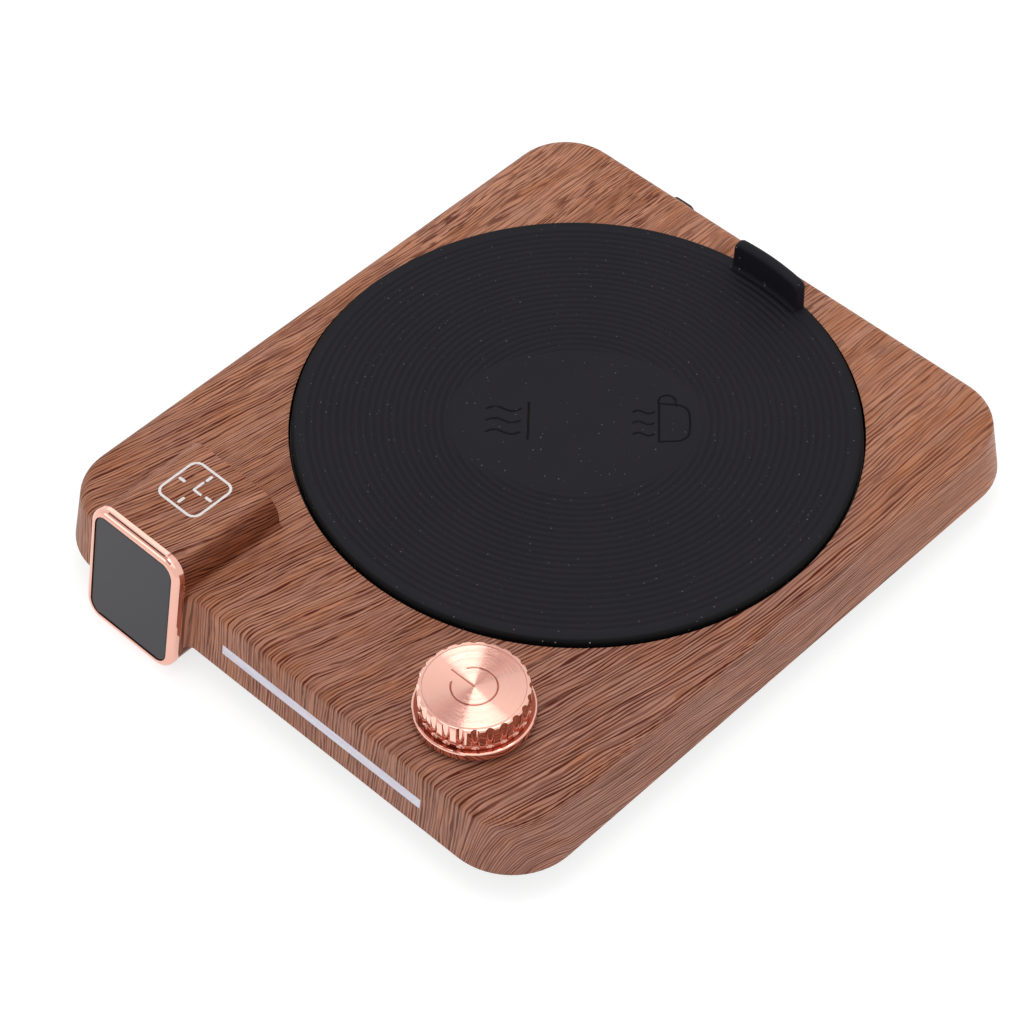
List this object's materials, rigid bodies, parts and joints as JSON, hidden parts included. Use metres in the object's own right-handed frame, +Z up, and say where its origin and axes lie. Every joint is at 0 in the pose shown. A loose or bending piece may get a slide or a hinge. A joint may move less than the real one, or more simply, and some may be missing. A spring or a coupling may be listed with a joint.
{
  "type": "warming plate",
  "caption": "Flat electric warming plate with a lift-off ringed silicone mat, a leaning display in its own housing, a fluted turn-and-press knob and a light bar in the front wall.",
  "frame": {"origin": "on the table under the middle of the whole object's box", "axes": "+Z up, -Y to the front where the display and light bar face, +X to the knob side"},
  "size_m": [0.1362, 0.1651, 0.0302],
  "materials": {
    "wood_film": "satin wood-grain film over a moulded cover",
    "dark_plastic": "fine matte",
    "foot_rubber": "matte",
    "screw_steel": "zinc plated",
    "mat_silicone": "matte, ringed",
    "plate_aluminium": "dark hard coat, turned",
    "seal_silicone": "matte",
    "element_film": "satin",
    "insulation_felt": "felted",
    "shield_steel": "pressed sheet",
    "fuse_ceramic": "glazed",
    "board_laminate": "satin",
    "film_capacitor": "satin",
    "can_capacitor": "sleeved",
    "relay_case": "satin",
    "socket_nylon": "satin",
    "encoder_case": "plated",
    "rotor_acetal": "satin",
    "shaft_aluminium": "turned",
    "rose_polished": "polished, rose-gold tint",
    "rose_spun": "spun, rose-gold tint",
    "lens_dark": "polished, dark",
    "panel_glass": "polished",
    "pad_foam": "conductive foam",
    "bar_clear": "milky, frosted",
    "lamp_resin": "clear resin",
    "gland_rubber": "matte"
  },
  "bodies": {
    "housing": {"top_cover": "wood_film", "base_cover": "dark_plastic", "rubber_feet": "foot_rubber", "case_screws": "screw_steel", "heating_plate": "plate_aluminium", "plate_seal": "seal_silicone", "heater_element": "element_film", "insulation_disc": "insulation_felt", "heat_shield": "shield_steel", "plate_screws": "screw_steel", "sensor_probe": "shield_steel", "thermal_fuse": "fuse_ceramic", "fuse_clip": "shield_steel", "control_board": "board_laminate", "board_screws": "screw_steel", "mains_capacitor": "film_capacitor", "smoothing_capacitor": "can_capacitor", "power_relay": "relay_case", "lead_socket": "socket_nylon", "encoder_body": "encoder_case", "switch_dome": "shield_steel", "encoder_washer": "screw_steel", "encoder_nut": "screw_steel", "display_bezel": "rose_polished", "display_lens": "lens_dark", "display_panel": "panel_glass", "display_board": "board_laminate", "touch_pad": "pad_foam", "light_bar": "bar_clear", "lamp_board": "socket_nylon", "lamps": "lamp_resin", "cord_gland": "gland_rubber"},
    "rotor": {"encoder_rotor": "rotor_acetal"},
    "knob": {"encoder_shaft": "shaft_aluminium", "knob_cap": "rose_polished", "knob_inlay": "rose_spun"},
    "mat": {"silicone_mat": "mat_silicone"}
  },
  "joints": [
    {"name": "knob_turn", "type": "hinge", "parent": "housing", "child": "rotor", "pos_m": [0.0388, -0.05765, 0.0155], "axis": [0, 0, 1], "continuous": true},
    {"name": "knob_press", "type": "slide", "parent": "rotor", "child": "knob", "axis": [0, 0, -1], "range_m": [0, 0.0005], "stiffness_N_per_m": 6000, "springref_m": -0.0002},
    {"name": "mat_lift", "type": "slide", "parent": "housing", "child": "mat", "axis": [0, 0, 1], "range_m": [0, 0.025]}
  ]
}
